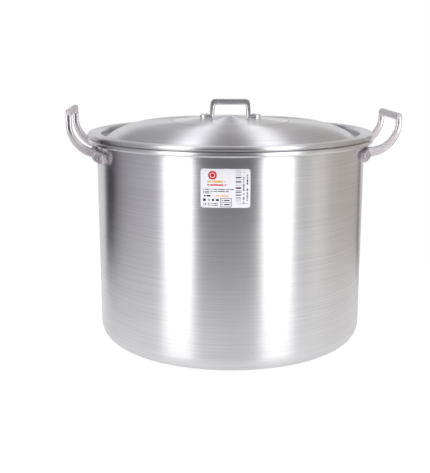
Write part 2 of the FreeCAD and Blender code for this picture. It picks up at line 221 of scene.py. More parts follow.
class StudioSettings(bpy.types.PropertyGroup):
    """Camera, lights and floor."""
    eye: FloatVectorProperty(name="Camera", default=(-0.1014, -1.2887, 0.4437), subtype="XYZ",
                             unit="LENGTH", description="Where the camera stands")
    aim: FloatVectorProperty(name="Aim", default=(0.0592, 0.9732, -0.2222), subtype="XYZ",
                             description="Direction in which the camera looks")
    lens: FloatProperty(name="Lens", default=65.0, unit="CAMERA", description="Focal length")
    facing: FloatProperty(name="Facing", default=math.radians(-94.5), subtype="ANGLE",
                          description="Direction from the kettle to the camera, round from +X")
    box_angle_left: FloatProperty(name="Left softbox", default=math.radians(41.5),
                                  subtype="ANGLE", description="Round from the camera")
    box_angle_right: FloatProperty(name="Right softbox", default=math.radians(38.5),
                                   subtype="ANGLE", description="Round from the camera")
    box_distance: length("Softbox distance", 1.75, "Axis of the kettle to a softbox")
    box_width: length("Softbox width", 0.80, "Across")
    box_height: length("Softbox height", 2.6, "Top to bottom")
    box_centre: share("Softbox centre", 0.42, "Its middle's height, as a share of its own")
    box_radiance: FloatProperty(name="Softbox brightness", default=1.5, min=0.0,
                                description="Radiance of a softbox")
    fill_watts: FloatProperty(name="Fill", default=62.0, min=0.0, unit="POWER",
                              description="Overhead light on the floor and the label")
    fill_place: FloatVectorProperty(name="Fill place", default=(0.0, -0.3, 2.4), subtype="XYZ",
                                    unit="LENGTH", description="Where the overhead light hangs")
    fill_size: length("Fill size", 3.0, "Side of the overhead light")
    floor_drop: length("Floor drop", 0.0003, "Daylight between the floor and the kettle")
    floor_radius: length("Floor radius", 0.54, "Size of the round floor")
    floor_glow: share("Floor glow", 0.90, "Light of the lit table top the kettle stands on")
    floor: colour("Floor", (0.13, 0.13, 0.13), "Plain pale floor")


GROUPS = {
    "kettle_body": KettleBodySettings,
    "kettle_lid": LidSettings,
    "kettle_lid_handle": LidHandleSettings,
    "kettle_carrying": CarryingHandleSettings,
    "kettle_label": LabelSettings,
    "kettle_finish": FinishSettings,
    "kettle_studio": StudioSettings,
}


def wall_radius(body):
    return body.rim_radius - body.overhang


# ---- bmesh helpers -----------------------------------------------------------------
def bends(corners, closed):
    """How far along its edges each (x, z, bend) corner must be cut back, and its turn."""
    cuts = []
    count = len(corners)
    for index, (x, z, bend) in enumerate(corners):
        is_end = not closed and index in (0, count - 1)
        if is_end or bend <= 0:
            cuts.append(None)
            continue
        here = Vector((x, z))
        back = (Vector(corners[index - 1][:2]) - here).normalized()
        ahead = (Vector(corners[(index + 1) % count][:2]) - here).normalized()
        inside = back.angle(ahead)
        cuts.append((bend / math.tan(inside / 2), math.pi - inside))
    return cuts


def round_corners(bm, verts, cuts, step):
    """Round each vertex by its own cut, with about one segment per step of turn."""
    for vert, cut in zip(verts, cuts):
        if cut is None:
            continue
        along, turn = cut
        segments = max(2, math.ceil(turn / step))
        bmesh.ops.bevel(bm, geom=[vert], offset=along, offset_type="OFFSET", segments=segments,
                        profile=0.5, affect="VERTICES", material=-1, clamp_overlap=False)


def line_through(corners, step=math.radians(9)):
    """New bmesh holding a chain of edges through rounded corners in the XZ plane."""
    bm = bmesh.new()
    verts = [bm.verts.new((x, 0.0, z)) for x, z, _ in corners]
    for pair in zip(verts, verts[1:]):
        bm.edges.new(pair)
    round_corners(bm, verts, bends(corners, False), step)
    return bm


def plate_of(corners, step=math.radians(9)):
    """New bmesh holding one flat face in the XZ plane with rounded corners."""
    bm = bmesh.new()
    verts = [bm.verts.new((x, 0.0, z)) for x, z, _ in corners]
    bm.faces.new(verts)
    round_corners(bm, verts, bends(corners, True), step)
    return bm


def spin_round(bm, steps):
    """Turn a profile whose ends lie on the Z axis into a closed solid of revolution."""
    bmesh.ops.spin(bm, geom=bm.verts[:] + bm.edges[:], cent=(0, 0, 0), axis=(0, 0, 1),
                   dvec=(0, 0, 0), angle=2 * math.pi, steps=steps, use_merge=True)
    close_up(bm)


def close_up(bm):
    """Merge doubles, then turn every face outwards."""
    bmesh.ops.remove_doubles(bm, verts=bm.verts[:], dist=TINY)
    bmesh.ops.recalc_face_normals(bm, faces=bm.faces[:])


def thicken(bm, way):
    """Extrude every face by a vector and leave a closed slab."""
    result = bmesh.ops.extrude_face_region(bm, geom=bm.faces[:], use_keep_orig=True)
    moved = [item for item in result["geom"] if isinstance(item, bmesh.types.BMVert)]
    bmesh.ops.translate(bm, verts=moved, vec=way)
    bmesh.ops.recalc_face_normals(bm, faces=bm.faces[:])


def sharp_edges(bm, limit=math.radians(40)):
    return [edge for edge in bm.edges if edge.is_manifold and edge.calc_face_angle() > limit]


def soften(bm, edges, offset, segments):
    """Round a set of edges."""
    bmesh.ops.bevel(bm, geom=edges, offset=offset, offset_type="OFFSET", segments=segments,
                    profile=0.5, affect="EDGES", material=-1, clamp_overlap=True)


def slice_across(bm, half_length, pitch):
    """Cut a flat slab into narrow strips, so that it can be bent."""
    count = math.ceil(2 * half_length / pitch)
    for index in range(1, count):
        place = half_length * (2 * index / count - 1)
        bmesh.ops.bisect_plane(bm, geom=bm.verts[:] + bm.edges[:] + bm.faces[:],
                               plane_co=(place, 0, 0), plane_no=(1, 0, 0), dist=TINY)


def wrap_round(bm, radius, azimuth):
    """Bend a slab that lies along X with its thickness along -Y round the kettle's axis."""
    for vert in bm.verts:
        along, depth, height = vert.co
        angle = azimuth + along / radius
        out = radius - depth
        vert.co = (out * math.cos(angle), out * math.sin(angle), height)


def sweep(bm, rings):
    """Bar through rings of points: the first ring is extruded to each of the next."""
    verts = [bm.verts.new(point) for point in rings[0]]
    start = bm.faces.new(verts)
    edges = list(start.edges)
    for ring in rings[1:]:
        made = bmesh.ops.extrude_edge_only(bm, edges=edges)["geom"]
        fresh = {item for item in made if isinstance(item, bmesh.types.BMVert)}
        following = []
        for vert, point in zip(verts, ring):
            partner = next(edge.other_vert(vert) for edge in vert.link_edges
                           if edge.other_vert(vert) in fresh)
            partner.co = point
            following.append(partner)
        edges = [item for item in made if isinstance(item, bmesh.types.BMEdge)
                 and item.verts[0] in fresh and item.verts[1] in fresh]
        verts = following
    bm.faces.new(verts)
    bmesh.ops.recalc_face_normals(bm, faces=bm.faces[:])


def piece(bm, name, body, nodes, materials):
    """Make the object of one finished piece and tie it to its body, nodes and slot."""
    for face in bm.faces:
        face.smooth = True
    for edge in sharp_edges(bm):
        edge.smooth = False
    mesh = bpy.data.meshes.new(name)
    bm.to_mesh(mesh)
    bm.free()
    for material in materials:
        mesh.materials.append(material)
    made = bpy.data.objects.new(name, mesh)
    bpy.context.scene.collection.objects.link(made)
    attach(made, body)
    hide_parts(*nodes)
    return made


# ---- materials ----------------------------------------------------------------------
class NodeTree:
    """A node tree in the making, with short ways to add and join its nodes."""

    def __init__(self, tree):
        self.nodes, self.links = tree.nodes, tree.links

    def feed(self, value, socket):
        if isinstance(value, bpy.types.NodeSocket):
            self.links.new(value, socket)
        else:
            socket.default_value = value

    def add(self, kind, inputs, **settings):
        node = self.nodes.new(kind)
        for key, value in settings.items():
            setattr(node, key, value)
        for key, value in inputs.items():
            self.feed(value, node.inputs[key])
        return node

    def sums(self, operation, *values):
        node = self.add("ShaderNodeMath", dict(enumerate(values)), operation=operation)
        return node.outputs[0]

    def plus(self, first, second):
        return self.sums("ADD", first, second)

    def times(self, first, second):
        return self.sums("MULTIPLY", first, second)

    def distance(self, x, y):
        return self.sums("SQRT", self.plus(self.times(x, x), self.times(y, y)))

    def split(self, vector):
        return self.add("ShaderNodeSeparateXYZ", {0: vector}).outputs[0:3]

    def joined(self, x, y, z):
        return self.add("ShaderNodeCombineXYZ", {0: x, 1: y, 2: z}).outputs[0]

    def noise(self, vector, scale, detail=2.0, rough=0.5):
        node = self.add("ShaderNodeTexNoise", {"Vector": vector, "Scale": scale,
                                               "Detail": detail, "Roughness": rough})
        return node.outputs["Fac"]

    def hairs(self, vector, *per_metre):
        """Noise drawn out along each axis that has few marks per metre."""
        parts = [self.times(part, marks) for part, marks in zip(self.split(vector), per_metre)]
        return self.noise(self.joined(*parts), 1.0)

    def spread(self, value, low, high, to_low=0.0, to_high=1.0, smooth=False):
        kind = "SMOOTHSTEP" if smooth else "LINEAR"
        node = self.add("ShaderNodeMapRange",
                        {"Value": value, "From Min": low, "From Max": high,
                         "To Min": to_low, "To Max": to_high}, interpolation_type=kind)
        return node.outputs["Result"]

    def swing(self, noise, to_low, to_high):
        """The part of a noise's range that it mostly uses, spread to new ends."""
        return self.spread(noise, 0.3, 0.7, to_low, to_high)

    def blend(self, factor, first, second):
        node = self.add("ShaderNodeMix", {}, data_type="RGBA")
        for index, value in ((0, factor), (6, first), (7, second)):
            self.feed(value, node.inputs[index])
        return node.outputs[2]

    def bump(self, height, distance, strength=1.0, normal=None):
        inputs = {"Height": height, "Distance": distance, "Strength": strength}
        if normal is not None:
            inputs["Normal"] = normal
        return self.add("ShaderNodeBump", inputs).outputs["Normal"]

    def is_camera_ray(self):
        return self.add("ShaderNodeLightPath", {}).outputs["Is Camera Ray"]


class Recipe(NodeTree):
    """A material in the making."""

    def __init__(self, name):
        self.material = bpy.data.materials.new(name)
        self.material.use_nodes = True
        super().__init__(self.material.node_tree)

    def place(self):
        return self.add("ShaderNodeTexCoord", {}).outputs["Object"]

    def surface(self, inputs):
        """Set or join the surface shader's sockets, and give the finished material."""
        for key, value in inputs.items():
            self.feed(value, self.nodes["Principled BSDF"].inputs[key])
        return self.material


def opaque(tint, strength=1.0):
    """A tint with full alpha, made brighter or darker but never past white."""
    return (*[min(1.0, part * strength) for part in tint], 1.0)


def spun_metal(name, tint, rough, stretch, grain, crease=0.0, groove=None):
    """Metal turned on a lathe: fine rings round the Z axis that draw highlights out across
    them. A crease has a flatter ring inside it and a painted dark line of shade along it;
    the bottom of a groove is darkened with painted shade."""
    mix = Recipe(name)
    spot = mix.place()
    x, y, z = mix.split(spot)
    radius = mix.distance(x, y)
    off_axis = mix.sums("MAXIMUM", radius, 0.0005)
    across = mix.sums("DIVIDE", x, off_axis)
    along = mix.sums("DIVIDE", y, off_axis)
    run = mix.plus(radius, z)

    def rings(turns, per_metre, detail):
        vector = mix.joined(mix.times(across, turns), mix.times(along, turns),
                            mix.times(run, per_metre))
        return mix.noise(vector, 1.0, detail)

    fine = rings(turns=2.0, per_metre=1500.0, detail=3.0)
    streak = rings(turns=0.8, per_metre=620.0, detail=3.0)
    band = rings(turns=1.5, per_metre=60.0, detail=2.0)
    haze = mix.noise(spot, 9.0, 3.0)
    tone = mix.plus(mix.swing(fine, -0.5 * grain, 0.5 * grain),
                    mix.swing(streak, -0.35 * grain, 0.35 * grain))
    tone = mix.plus(0.5, mix.plus(tone, mix.swing(band, -0.012, 0.012)))
    look = mix.blend(tone, opaque(tint, 0.72), opaque(tint, 1.14))
    roughness = mix.plus(mix.swing(haze, rough - 0.025, rough + 0.025),
                         mix.swing(streak, -0.012, 0.012))
    relief = mix.bump(fine, 0.00005, 0.5)
    relief = mix.bump(streak, 0.00005, 0.5, relief)
    # Painted shade: the bottom of the lid's groove is blended towards a dark copy of the tint,
    # standing in for the shade in the recess.
    if groove:
        inner, low, high = groove
        depth = mix.times(mix.spread(radius, inner, inner + 0.002),
                          mix.spread(z, low, high, 1.0, 0.0))
        look = mix.blend(mix.times(depth, 0.62), look, opaque(tint, 0.25))
    if crease:
        # Painted shade: a thin dark ring along the crease stands in for the shade where the surface
        # folds.
        painted_crease_shade = mix.sums("COMPARE", radius, crease, 0.0012)
        look = mix.blend(mix.times(painted_crease_shade, 0.35), look, opaque(tint, 0.3))
        smoother = mix.spread(radius, crease - 0.002, crease, 0.08, 0.0)
        roughness = mix.sums("SUBTRACT", roughness, smoother)
        rise = mix.spread(radius, crease * 0.5, crease, 0.0, 0.0048)
        relief = mix.bump(rise, 1.0, 1.0, relief)
    around = mix.add("ShaderNodeVectorMath", {0: mix.joined(mix.times(y, -1.0), x, 0.0)},
                     operation="NORMALIZE").outputs[0]
    return mix.surface({"Base Color": look, "Metallic": 1.0, "Roughness": roughness,
                        "Anisotropic": stretch, "Anisotropic Rotation": 0.25,
                        "Tangent": around, "Normal": relief})


def cast_metal(name, tint, polish_from, polish_to, grip_from):
    """Sand-cast metal, matt and grainy at the foot and the grip, polished bright between."""
    mix = Recipe(name)
    spot = mix.place()
    height = mix.split(spot)[2]
    level = mix.plus(height, mix.swing(mix.noise(spot, 60.0, 3.0), -0.005, 0.005))
    polished = mix.times(mix.spread(level, polish_from, polish_to, 0.0, 1.0, True),
                         mix.spread(height, grip_from, grip_from + 0.003, 1.0, 0.0, True))
    sand = mix.noise(spot, 900.0, 3.0, 0.6)
    pits = mix.noise(spot, 520.0, 3.0)
    scratch = mix.hairs(spot, 900.0, 900.0, 90.0)
    matt_tint = mix.blend(pits, opaque(tint, 0.92), opaque(tint, 1.08))
    bright_tint = mix.blend(scratch, opaque(tint, 1.08), opaque(tint, 1.26))
    matt = mix.times(mix.swing(pits, 0.48, 0.62), mix.sums("SUBTRACT", 1.0, polished))
    bright = mix.times(mix.swing(scratch, 0.22, 0.32), polished)
    strength = mix.spread(polished, 0.0, 1.0, 0.45, 0.02)
    relief = mix.bump(sand, 0.0002, strength)
    relief = mix.bump(pits, 0.0002, strength, relief)
    return mix.surface({"Base Color": mix.blend(polished, matt_tint, bright_tint),
                        "Metallic": 1.0, "Roughness": mix.plus(matt, bright),
                        "Normal": relief})


def polished_metal(name, tint, rough):
    """Bright metal with hairline scratches and faint dimples."""
    mix = Recipe(name)
    spot = mix.place()
    hair = mix.hairs(spot, 120.0, 1600.0, 1600.0)
    dimple = mix.noise(spot, 140.0)
    relief = mix.bump(hair, 0.00002, 0.3)
    relief = mix.bump(dimple, 0.0002, 0.25, relief)
    return mix.surface({"Base Color": mix.blend(dimple, opaque(tint, 0.9), opaque(tint, 1.08)),
                        "Metallic": 1.0, "Roughness": mix.swing(hair, rough - 0.04, rough + 0.06),
                        "Normal": relief})


# Top and bottom of each bar of the bar pattern, as shares of the label's height.
BARS = ((0.045, 0.055), (0.085, 0.091), (0.125, 0.133), (0.165, 0.171), (0.206, 0.238),
        (0.268, 0.274), (0.312, 0.346), (0.378, 0.384), (0.418, 0.426), (0.468, 0.508),
        (0.552, 0.566), (0.584, 0.610), (0.656, 0.684), (0.734, 0.754), (0.790, 0.798),
        (0.822, 0.828))
BAR_LEFT, BAR_RIGHT = 0.705, 0.815
# One row per printed mark: ink, left, top, right, bottom as shares of the label, and how
# many dashes the mark is broken into (0 leaves it solid).
PRINT = (
    ("orange", 0.12, 0.300, 0.50, 0.352, 11),
    ("red", 0.13, 0.400, 0.18, 0.428, 0),
    ("red", 0.195, 0.395, 0.46, 0.433, 0),
    ("red", 0.475, 0.400, 0.52, 0.428, 0),
    ("black", 0.05, 0.518, 0.67, 0.538, 46),
    ("black", 0.05, 0.570, 0.58, 0.590, 40),
    ("black", 0.05, 0.612, 0.22, 0.630, 13),
    ("black", 0.045, 0.672, 0.20, 0.715, 9),
    ("orange", 0.225, 0.676, 0.56, 0.708, 22),
    ("black", 0.050, 0.768, 0.105, 0.834, 0),
    ("black", 0.145, 0.775, 0.200, 0.826, 5),
    ("black", 0.230, 0.775, 0.285, 0.826, 5),
    ("black", 0.310, 0.775, 0.370, 0.826, 5),
    ("grey", 0.060, 0.885, 0.110, 0.945, 4),
    ("black", 0.145, 0.884, 0.355, 0.906, 16),
    ("black", 0.145, 0.930, 0.355, 0.950, 16),
    ("grey", 0.400, 0.745, 0.625, 0.763, 0),
    ("grey", 0.400, 0.966, 0.625, 0.984, 0),
    ("grey", 0.400, 0.745, 0.414, 0.984, 0),
    ("grey", 0.611, 0.745, 0.625, 0.984, 0),
    ("black", 0.430, 0.796, 0.595, 0.824, 7),
    ("grey", 0.400, 0.855, 0.625, 0.872, 0),
    ("black", 0.430, 0.902, 0.595, 0.930, 7),
) + tuple(("black", BAR_LEFT, top, BAR_RIGHT, bottom, 0) for top, bottom in BARS)
# One row per column of fine marks: left, right, top, bottom, marks and ink.
COLUMNS = ((0.848, 0.882, 0.07, 0.90, 44, "grey"), (0.925, 0.952, 0.08, 0.43, 26, "black"),
           (0.925, 0.952, 0.50, 0.82, 24, "black"), (0.74, 0.96, 0.885, 0.905, 2, "grey"))
ROW_INK, COLUMN_INK = 0.72, 0.5       # share of a broken mark's dashes that are printed
BADGE = (0.24, 0.165, 0.088)          # centre across, centre down, radius across


def printed_paper(name, settings, aspect):
    """Coated paper with a badge, bands, dashed lines and bars laid out on the label's own map."""
    mix = Recipe(name)
    sheet = mix.add("ShaderNodeUVMap", {}, uv_map="label").outputs[0]
    across, up, _ = mix.split(sheet)
    down = mix.sums("SUBTRACT", 1.0, up)
    inks = {key: opaque(getattr(settings, key)) for key in ("black", "grey", "red", "orange")}
    fibre = mix.noise(sheet, 90.0, 4.0)
    look = mix.blend(fibre, opaque(settings.paper, 0.985), opaque(settings.paper, 1.015))

    def patch(left, top, right, bottom):
        wide = mix.sums("COMPARE", across, (left + right) / 2, (right - left) / 2)
        tall = mix.sums("COMPARE", down, (top + bottom) / 2, (bottom - top) / 2)
        return mix.times(wide, tall)

    def broken(mask, run, dashes, share_inked):
        cell = mix.sums("FLOOR", mix.times(run, float(dashes)))
        chance = mix.add("ShaderNodeTexWhiteNoise", {"W": cell}, noise_dimensions="1D")
        return mix.times(mask, mix.sums("LESS_THAN", chance.outputs["Value"], share_inked))

    for ink, left, top, right, bottom, dashes in PRINT:
        mask = patch(left, top, right, bottom)
        if dashes:
            mask = broken(mask, across, dashes / (right - left), ROW_INK)
        look = mix.blend(mask, look, inks[ink])
    for left, right, top, bottom, dashes, ink in COLUMNS:
        mask = broken(patch(left, top, right, bottom), down, dashes / (bottom - top), COLUMN_INK)
        look = mix.blend(mask, look, inks[ink])
    middle, drop, size = BADGE
    reach = mix.distance(mix.sums("SUBTRACT", across, middle),
                         mix.times(mix.sums("SUBTRACT", down, drop), 1.0 / aspect))
    look = mix.blend(mix.sums("LESS_THAN", reach, size), look, inks["red"])
    ring = mix.sums("COMPARE", reach, size * 0.52, size * 0.07)
    look = mix.blend(ring, look, opaque(settings.paper))
    return mix.surface({"Base Color": look, "Roughness": mix.swing(fibre, 0.42, 0.52),
                        "Coat Weight": 0.25, "Coat Roughness": 0.3,
                        "Normal": mix.bump(fibre, 0.00003, 0.4)})


def floor_paint(name, tint, glow):
    """Matt pale floor, lit from below, with the faintest mottle."""
    mix = Recipe(name)
    cloud = mix.noise(mix.place(), 3.0, 4.0)
    return mix.surface({
        "Base Color": mix.blend(cloud, opaque(tint, 0.99), opaque(tint, 1.01)),
        "Roughness": 0.85, "Emission Color": (1.0, 1.0, 1.0, 1.0),
        "Emission Strength": mix.spread(mix.is_camera_ray(), 0.0, 1.0, glow * 0.76, glow)})


# ---- profiles -----------------------------------------------------------------------
def body_profile(body):
    """Closed section of the kettle, from the middle of its underside round to the inside."""
    wall = wall_radius(body)
    mouth = wall - body.sheet
    bead = body.rim_bead
    top = body.rim_height
    under = top - body.sheet
    bead_in = body.rim_radius - 2 * bead
    bead_low = top - 2 * bead
    return [
        (0.0, 0.0, 0.0),
        (wall, 0.0, body.base_bend),
        (wall, under, body.rim_fold),
        (bead_in, under, 0.0),
        (bead_in, bead_low, bead * BEAD_SHARE),
        (body.rim_radius, bead_low, bead * BEAD_SHARE),
        (body.rim_radius, top, bead * BEAD_SHARE),
        (mouth, top, body.rim_fold + body.sheet / 2),
        (mouth, body.base_sheet, body.base_bend - body.sheet),
        (0.0, body.base_sheet, 0.0),
    ]


def lid_levels(body, lid):
    """Heights and radii of the lid that its handle and rivets need too."""
    mouth = wall_radius(body) - body.sheet
    flange = body.rim_height + lid.seat_gap + 2 * lid.edge_bead
    floor = flange - lid.step_depth
    step = mouth - lid.clearance - lid.sheet
    crease = floor + lid.crease_rise
    apex = crease + lid.apex_rise
    return flange, floor, step, crease, apex


def lid_upper(body, lid):
    """Upper face of the lid from its middle to the rolled edge."""
    flange, floor, step, crease, apex = lid_levels(body, lid)
    foot = step - lid.groove
    return [
        (0.0, apex, 0.0),
        (lid.crease_radius, crease, lid.crease_bend),
        (foot - lid.shoulder_width, crease - lid.shoulder_drop, lid.shoulder_bend),
        (foot, floor + lid.foot_rise, lid.fold_bend),
        (foot + lid.foot_rise, floor, lid.fold_bend),
        (step, floor, lid.fold_bend / 2),
        (step, flange, lid.fold_bend),
        (lid.edge_radius - lid.edge_bead, flange, 0.0),
    ]


def lower_face(corners, sheet):
    """The same run of corners moved down by the sheet's thickness, bends kept parallel."""
    moved = []
    for index, (x, z, bend) in enumerate(corners):
        here = Vector((x, z))
        ways = []
        if index > 0:
            ways.append((here - Vector(corners[index - 1][:2])).normalized())
        if index < len(corners) - 1:
            ways.append((Vector(corners[index + 1][:2]) - here).normalized())
        downs = [Vector((way.y, -way.x)) for way in ways]
        if len(downs) == 1:
            place = here + downs[0] * sheet
            moved.append((place.x, place.y, bend))
            continue
        middle = (downs[0] + downs[1]).normalized()
        place = here + middle * (sheet / middle.dot(downs[0]))
        turns_down = ways[0].x * ways[1].y - ways[0].y * ways[1].x < 0
        grown = bend - sheet if turns_down else bend + sheet
        moved.append((place.x, place.y, max(grown, SHARPEST_BEND)))
    return moved


def lid_profile(body, lid):
    """Closed section of the lid, down its upper face and back under it."""
    upper = lid_upper(body, lid)
    under = lower_face(upper, lid.sheet)
    slope = lid.apex_rise / lid.crease_radius
    apex = upper[0][1]
    under[0] = (0.0, apex - lid.sheet / math.cos(math.atan(slope)), 0.0)
    bead = lid.edge_bead
    flange = upper[-1][1]
    low = flange - 2 * bead
    bead_in = lid.edge_radius - 2 * bead
    edge = [
        (lid.edge_radius, flange, bead * BEAD_SHARE),
        (lid.edge_radius, low, bead * BEAD_SHARE),
        (bead_in, low, bead * BEAD_SHARE),
        (bead_in, flange - lid.sheet, 0.0),
    ]
    return upper[:-1] + edge + under[-2::-1]


def rivet_bmesh(shank, head, dome, grip, clinch):
    """Rivet along +Z: clinched head below 0, shank through the grip, domed head above."""
    band = RIVET_BAND * dome
    crown = dome - band
    ball = (head ** 2 + crown ** 2) / (2 * crown)
    bm = line_through([
        (0.0, -clinch, 0.0),
        (head, -clinch, clinch * CLINCH_BEND),
        (head, 0.0, 0.0),
        (shank, 0.0, 0.0),
        (shank, grip, 0.0),
        (head, grip, 0.0),
        (head, grip + band, 0.0),
    ])
    last = max(bm.verts, key=lambda vert: (round(vert.co.z, 7), vert.co.x))
    sweep_angle = math.asin(head / ball)
    bmesh.ops.spin(bm, geom=[last], cent=(0, 0, grip + dome - ball), axis=(0, 1, 0),
                   dvec=(0, 0, 0), angle=-sweep_angle, steps=HEAD_STEPS, use_merge=False)
    spin_round(bm, RIVET_FACETS)
    return bm


# ---- pieces ------------------------------------------------------------------------
class KETTLE_OT_body(bpy.types.Operator):
    """Spin the kettle's body: base, wall and rolled rim"""
    bl_idname = "kettle.body"
    bl_label = "Kettle body"

    def execute(self, context):
        scene = context.scene
        body, finish = scene.kettle_body, scene.kettle_finish
        bm = line_through(body_profile(body))
        spin_round(bm, body.steps)
        metal = spun_metal("spun_aluminium_wall", finish.wall, finish.wall_rough,
                           finish.stretch, finish.wall_grain)
        piece(bm, "kettle_body", "kettle", ["pot_body"], [metal])
        return {"FINISHED"}


class KETTLE_OT_lid(bpy.types.Operator):
    """Spin the lid: cone, shoulder, groove, flange and rolled edge"""
    bl_idname = "kettle.lid"
    bl_label = "Lid"

    def execute(self, context):
        scene = context.scene
        body, lid, finish = scene.kettle_body, scene.kettle_lid, scene.kettle_finish
        flange, floor, step = lid_levels(body, lid)[0:3]
        bm = line_through(lid_profile(body, lid), math.radians(7))
        spin_round(bm, body.steps)
        # The crease radius also places a painted dark line of shade at the crease; the last tuple
        # sets where painted shade darkens the bottom of the groove.
        metal = spun_metal("spun_aluminium_lid", finish.lid, finish.lid_rough,
                           finish.stretch, finish.lid_grain, lid.crease_radius,
                           (step - lid.groove - 0.001, floor, flange))
        piece(bm, "lid_spun", "lid", ["lid_shell"], [metal])
        return {"FINISHED"}


def cone_height(scene, radius):
    lid = scene.kettle_lid
    apex = lid_levels(scene.kettle_body, lid)[4]
    return apex - lid.apex_rise / lid.crease_radius * radius


class KETTLE_OT_lid_handle(bpy.types.Operator):
    """Make the bar handle of the lid, with splayed legs and round-ended tabs"""
    bl_idname = "kettle.lid_handle"
    bl_label = "Lid handle"

    def execute(self, context):
        scene = context.scene
        grip, finish = scene.kettle_lid_handle, scene.kettle_finish
        foot = grip.length / 2 + grip.splay
        shoulder = grip.length / 2
        tab_end = foot + grip.tab
        bar_top = cone_height(scene, foot) + grip.height
        half = [
            (tab_end, cone_height(scene, tab_end) - HAIR, 0.0),
            (tab_end, cone_height(scene, tab_end) + grip.tab_sheet, 0.0),
            (foot, cone_height(scene, foot) + grip.tab_sheet, grip.tab_sheet / 2),
            (shoulder, bar_top, grip.corner),
        ]
        inner = [
            (shoulder - grip.leg, bar_top - grip.bar, grip.corner - grip.leg / 2),
            (foot - grip.leg, cone_height(scene, foot - grip.leg) - HAIR, 0.0),
        ]
        corners = half + [(-x, z, bend) for x, z, bend in half[::-1]]
        corners += [(-x, z, bend) for x, z, bend in inner[::-1]] + inner
        bm = plate_of(corners, math.radians(12))
        bmesh.ops.translate(bm, verts=bm.verts[:], vec=(0, -grip.width / 2, 0))
        thicken(bm, (0, grip.width, 0))
        ends = [edge for edge in bm.edges
                if all(abs(abs(vert.co.x) - tab_end) < TINY for vert in edge.verts)
                and abs(edge.verts[0].co.z - edge.verts[1].co.z) > TINY]
        soften(bm, ends, grip.width / 2 - HAIR, segments=8)
        tab_top = cone_height(scene, foot) + grip.tab_sheet * 1.2
        outer = [edge for edge in sharp_edges(bm)
                 if min(vert.co.z for vert in edge.verts) > tab_top
                 and self.is_outside(edge, grip, bar_top)]
        soften(bm, outer, grip.crown, segments=6)
        inner_edges = [edge for edge in sharp_edges(bm, math.radians(55))
                       if max(vert.co.z for vert in edge.verts) > tab_top
                       and not self.is_outside(edge, grip, bar_top)]
        soften(bm, inner_edges, grip.belly, segments=5)
        rest = [edge for edge in sharp_edges(bm, math.radians(55))
                if min(vert.co.z for vert in edge.verts) > cone_height(scene, tab_end) + HAIR]
        soften(bm, rest, grip.arris, segments=3)
        bmesh.ops.rotate(bm, verts=bm.verts[:], cent=(0, 0, 0),
                         matrix=Matrix.Rotation(grip.turn, 3, "Z"))
        metal = polished_metal("polished_bar", finish.bar, finish.bar_rough)
        piece(bm, "lid_bar_handle", "lid", ["lid_handle"], [metal])
        return {"FINISHED"}

    @staticmethod
    def is_outside(edge, grip, bar_top):
        """True for edges of the bar's top and the legs' outer faces."""
        middle = (edge.verts[0].co + edge.verts[1].co) / 2
        near_top = middle.z > bar_top - grip.bar / 2
        return near_top or abs(middle.x) > grip.length / 2 - grip.leg / 2


class KETTLE_OT_lid_rivets(bpy.types.Operator):
    """Set two rivets in each tab of the lid handle"""
    bl_idname = "kettle.lid_rivets"
    bl_label = "Lid rivets"

    def execute(self, context):
        scene = context.scene
        grip, lid, finish = scene.kettle_lid_handle, scene.kettle_lid, scene.kettle_finish
        metal = polished_metal("drawn_rivet_small", finish.rivet, finish.small_rivet_rough)
        first = grip.length / 2 + grip.splay + grip.rivet_margin
        tilt = math.atan(lid.apex_rise / lid.crease_radius)
        for side, sign, _ in SIDES:
            for number in (1, 2):
                station = first + grip.rivet_pitch * (number - 1)
                bm = rivet_bmesh(grip.rivet_shank, grip.rivet_head, grip.rivet_dome,
                                 lid.sheet + grip.tab_sheet + 2 * RIVET_FIT, grip.rivet_clinch)
                lean = Matrix.Rotation(sign * tilt, 4, "Y")
                face = Vector((sign * station, 0, cone_height(scene, station)))
                origin = face - lean.to_3x3() @ Vector((0, 0, lid.sheet + RIVET_FIT))
                spot = Matrix.Rotation(grip.turn, 4, "Z") @ Matrix.Translation(origin) @ lean
                bmesh.ops.transform(bm, matrix=spot, verts=bm.verts[:])
                piece(bm, f"lid_rivet_set_{side}_{number}", "lid",
                      [f"lid_rivet_{side}_{number}"], [metal])
        return {"FINISHED"}


def ring_of(corner, across, deep, softness, steps=5):
    """Points of a rounded four-sided section that starts at a corner and spans two ways."""
    wide, thick = across.length, deep.length
    cut = min(softness, wide * 0.49, thick * 0.49)
    side, out = across.normalized(), deep.normalized()
    points = []
    for centre_w, centre_d, start in ((wide - cut, thick - cut, 0), (cut, thick - cut, 90),
                                      (cut, cut, 180), (wide - cut, cut, 270)):
        for step in range(steps + 1):
            angle = math.radians(start + 90 * step / steps)
            along = centre_w + cut * math.cos(angle)
            away = centre_d + cut * math.sin(angle)
            points.append(corner + side * along + out * away)
    return points


